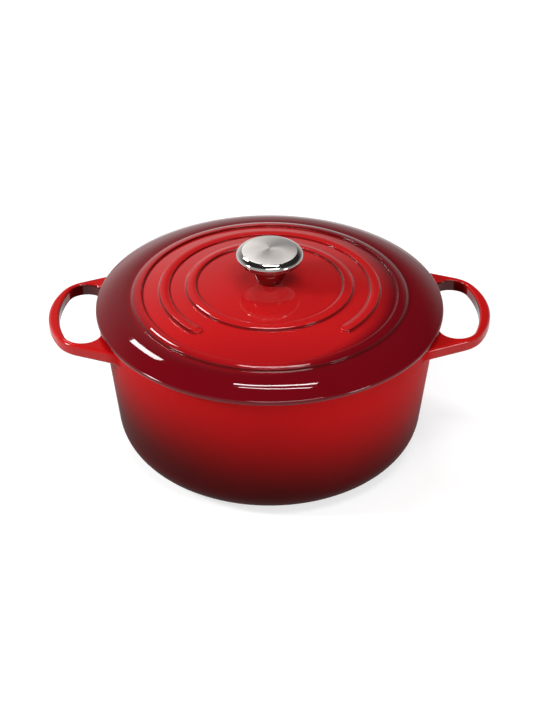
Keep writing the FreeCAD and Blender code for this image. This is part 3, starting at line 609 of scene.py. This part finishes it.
def turned_steel(name, steel, roughness):
    """Steel turned on a lathe, with faint rings along its height."""
    material, web, shader = new_material(name)
    _, radius, height = web.place()
    ring = web.node("ShaderNodeCombineXYZ")
    web.join(web.calc("MULTIPLY", height, LATHE_LINES), ring.inputs["X"])
    web.join(web.calc("MULTIPLY", radius, LATHE_LINES), ring.inputs["Y"])
    lathe = web.node("ShaderNodeTexNoise", noise_dimensions="3D")
    web.join(ring.outputs[0], lathe.inputs["Vector"])
    lathe.inputs["Scale"].default_value = 1.0
    tone = lathe.outputs["Fac"]
    paint = web.mix(tone, dimmed(steel, 0.92), steel)
    rough = web.blend(tone, roughness * 0.8, roughness * 1.2)
    finish(web, shader, paint, Roughness=rough)
    shader.inputs["Metallic"].default_value = 1.0
    return material


class OVEN_OT_knob(bpy.types.Operator):
    """Finish the knob, its insert, its screw and the lock washer"""

    bl_idname = "oven.knob"
    bl_label = "Knob"

    def execute(self, context):
        sizes = context.scene.oven_steel
        dress("knob_top", brushed_cap(sizes))
        # painted shade: the neck's steel is darkened
        dress("knob_base", turned_steel("polished_steel", sizes.neck_shaded_steel, 0.05))
        dress("knob_insert", turned_steel("turned_insert", sizes.steel, 0.30))
        fastening = turned_steel("fastener_steel", sizes.steel, 0.22)
        dress("knob_screw", fastening)
        dress("lock_washer", fastening)
        return {"FINISHED"}


# ------------------------------------------------------------- stage

def heading(azimuth, elevation):
    """Unit direction: azimuth from +Y towards +X, both in degrees."""
    side = math.radians(azimuth)
    rise = math.radians(elevation)
    return Vector((math.sin(side) * math.cos(rise),
                   math.cos(side) * math.cos(rise), math.sin(rise)))


def softbox(name, azimuth, elevation, width, height, watts):
    """Rectangular lamp that faces the lid."""
    lamp = bpy.data.lights.new(name, "AREA")
    lamp.shape = "RECTANGLE"
    lamp.size = width
    lamp.size_y = height
    lamp.energy = watts
    holder = bpy.data.objects.new(name, lamp)
    bpy.context.scene.collection.objects.link(holder)
    way = heading(azimuth, elevation)
    holder.location = LAMP_AIM + way * LAMP_DISTANCE
    holder.rotation_euler = way.to_track_quat("Z", "Y").to_euler()


def studio_world():
    """Even pale room whose far end, behind the object, stays dark."""
    world = bpy.data.worlds.new("studio")
    bpy.context.scene.world = world
    world.use_nodes = True
    tree = world.node_tree
    tree.nodes.clear()
    web = Web(tree)
    way = web.node("ShaderNodeTexCoord").outputs["Generated"]
    toward = web.node("ShaderNodeVectorMath", operation="DOT_PRODUCT")
    web.join(way, toward.inputs[0])
    toward.inputs[1].default_value = heading(*DARK_END)
    dark = web.step(toward.outputs["Value"], 0.0, 0.45)
    parts = web.node("ShaderNodeSeparateXYZ")
    web.join(way, parts.inputs[0])
    # the dark end pales towards the floor and on the left
    low = web.step(parts.outputs["Z"], 0.55, 0.08)
    left = web.step(parts.outputs["X"], 0.10, -0.22)
    left = web.calc("MULTIPLY", left, web.step(parts.outputs["Z"], 0.80, 0.45))
    shade = web.calc("ADD", web.calc("MULTIPLY", low, LOW_GLOW),
                     web.calc("MULTIPLY", left, LEFT_GLOW))
    shade = web.calc("ADD", shade, DARK_LEVEL)
    right = web.step(parts.outputs["X"], 0.0, 0.8)
    open_side = web.blend(right, OPEN_LEVEL, OPEN_RIGHT)
    level = web.blend(dark, open_side, shade)
    back = web.node("ShaderNodeBackground")
    web.join(level, back.inputs["Strength"])
    output = web.node("ShaderNodeOutputWorld")
    web.join(back.outputs[0], output.inputs["Surface"])


def studio_floor(sizes):
    """Plain pale floor under the object."""
    mesh = bpy.data.meshes.new("floor")
    corners = [(side * FLOOR_HALF, end * FLOOR_HALF, 0)
               for side, end in ((-1, -1), (1, -1), (1, 1), (-1, 1))]
    mesh.from_pydata(corners, [], [(0, 1, 2, 3)])
    floor = bpy.data.objects.new("floor", mesh)
    bpy.context.scene.collection.objects.link(floor)
    material, web, shader = new_material("floor")
    grey = sizes.floor_grey
    shader.inputs["Base Color"].default_value = (grey, grey, grey, 1)
    shader.inputs["Roughness"].default_value = 0.9
    shader.inputs["Specular IOR Level"].default_value = 0.0
    # the camera and mirrors see the floor nearer to white than it lights
    path = web.node("ShaderNodeLightPath").outputs
    seen = web.calc("MAXIMUM", path["Is Camera Ray"], path["Is Glossy Ray"])
    seen = web.calc("MAXIMUM", seen, path["Is Transmission Ray"])
    shader.inputs["Emission Color"].default_value = (1, 1, 1, 1)
    web.join(web.calc("MULTIPLY", seen, sizes.floor_lift), shader.inputs["Emission Strength"])
    mesh.materials.append(material)


class OVEN_OT_stage(bpy.types.Operator):
    """Set up floor, lamps, world and camera"""

    bl_idname = "oven.stage"
    bl_label = "Stage"

    def execute(self, context):
        scene = context.scene
        sizes = scene.oven_stage
        scene.view_settings.view_transform = "Standard"
        studio_world()
        studio_floor(sizes)
        for lamp in LAMPS:
            softbox(*lamp)
        camera = bpy.data.cameras.new("camera")
        camera.lens = sizes.focal_length
        camera.sensor_width = SENSOR_WIDTH
        holder = bpy.data.objects.new("camera", camera)
        scene.collection.objects.link(holder)
        way = heading(180 - math.degrees(sizes.azimuth), math.degrees(sizes.elevation))
        holder.location = Vector(sizes.aim) + way * sizes.distance
        holder.rotation_euler = way.to_track_quat("Z", "Y").to_euler()
        scene.camera = holder
        return {"FINISHED"}


# ------------------------------------------------------------- add-on

class OVEN_PT_panel(bpy.types.Panel):
    """Lists the steps in the sidebar"""

    bl_idname = "OVEN_PT_panel"
    bl_label = "Dutch oven"
    bl_space_type = "VIEW_3D"
    bl_region_type = "UI"
    bl_category = "Dutch oven"

    def draw(self, context):
        for step in STEPS:
            self.layout.operator(step.bl_idname)


STEPS = (OVEN_OT_enamel_groups, OVEN_OT_pot, OVEN_OT_lid, OVEN_OT_knob, OVEN_OT_stage)
GROUPS = (
    ("oven_enamel", OvenEnamelSizes),
    ("oven_steel", OvenSteelSizes),
    ("oven_stage", OvenStageSizes),
)


def register():
    """Add the properties, the operators and the panel."""
    for name, group in GROUPS:
        bpy.utils.register_class(group)
        setattr(bpy.types.Scene, name, bpy.props.PointerProperty(type=group))
    for item in (*STEPS, OVEN_PT_panel):
        bpy.utils.register_class(item)


def unregister():
    """Take them away again."""
    for item in (OVEN_PT_panel, *reversed(STEPS)):
        bpy.utils.unregister_class(item)
    for name, group in reversed(GROUPS):
        delattr(bpy.types.Scene, name)
        bpy.utils.unregister_class(group)


def main():
    """Run every step in order."""
    register()
    for step in STEPS:
        section, name = step.bl_idname.split(".")
        getattr(getattr(bpy.ops, section), name)()


if __name__ == "__main__":
    main()
